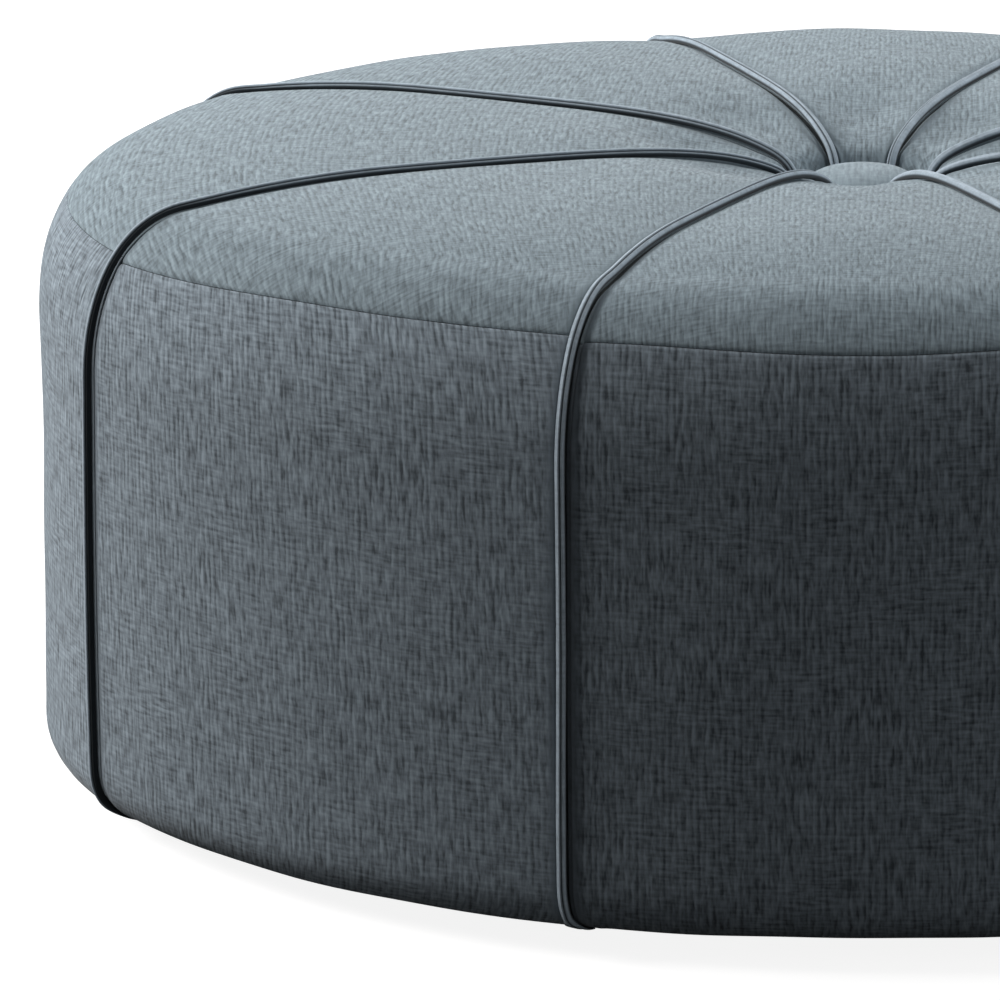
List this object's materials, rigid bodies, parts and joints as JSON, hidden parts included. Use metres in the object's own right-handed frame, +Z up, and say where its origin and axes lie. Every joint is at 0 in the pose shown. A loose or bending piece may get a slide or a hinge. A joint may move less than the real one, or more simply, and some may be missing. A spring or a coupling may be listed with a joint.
{
  "type": "tufted footstool",
  "caption": "Low oval upholstered footstool: domed top of wedge-shaped gores drawn into a covered button, welts running down the sides, a ring seam at the top edge and turned-under fabric.",
  "frame": {"origin": "on the floor, under the middle of the button", "axes": "+Z up, -Y towards the front, +X to the right as seen from the front"},
  "size_m": [0.954, 0.78, 0.3764],
  "materials": {
    "cover_fabric": "woven, matte",
    "welt_fabric": "woven, matte",
    "foam": "open-cell foam, matte",
    "timber": "planed",
    "plywood": "sanded",
    "fibreboard": "pressed, matte",
    "twine": "waxed",
    "zinc_screw": "yellow zinc",
    "steel_screw": "bright",
    "dust_cloth": "non-woven, matte",
    "glide_plastic": "matte"
  },
  "bodies": {
    "root": {"top_gore_1": "cover_fabric", "top_gore_2": "cover_fabric", "top_gore_3": "cover_fabric", "top_gore_4": "cover_fabric", "top_gore_5": "cover_fabric", "top_gore_6": "cover_fabric", "top_gore_7": "cover_fabric", "top_gore_8": "cover_fabric", "side_panel_1": "cover_fabric", "side_panel_2": "cover_fabric", "side_panel_3": "cover_fabric", "side_panel_4": "cover_fabric", "side_panel_5": "cover_fabric", "side_panel_6": "cover_fabric", "side_panel_7": "cover_fabric", "side_panel_8": "cover_fabric", "welt_1": "welt_fabric", "welt_2": "welt_fabric", "welt_3": "welt_fabric", "welt_4": "welt_fabric", "welt_5": "welt_fabric", "welt_6": "welt_fabric", "welt_7": "welt_fabric", "welt_8": "welt_fabric", "side_foam_1": "foam", "side_foam_2": "foam", "side_foam_3": "foam", "side_foam_4": "foam", "side_foam_5": "foam", "side_foam_6": "foam", "side_foam_7": "foam", "side_foam_8": "foam", "post_1": "timber", "post_2": "timber", "post_3": "timber", "post_4": "timber", "post_5": "timber", "post_6": "timber", "post_7": "timber", "post_8": "timber", "button_cover": "cover_fabric", "button_pad": "foam", "button_former": "timber", "button_twine": "twine", "twine_toggle": "timber", "top_foam": "foam", "side_liner": "fibreboard", "top_board": "plywood", "base_board": "plywood", "deck_screws": "zinc_screw", "base_screws": "zinc_screw", "dust_cover": "dust_cloth", "glides": "glide_plastic", "glide_screws": "steel_screw"}
  },
  "joints": []
}
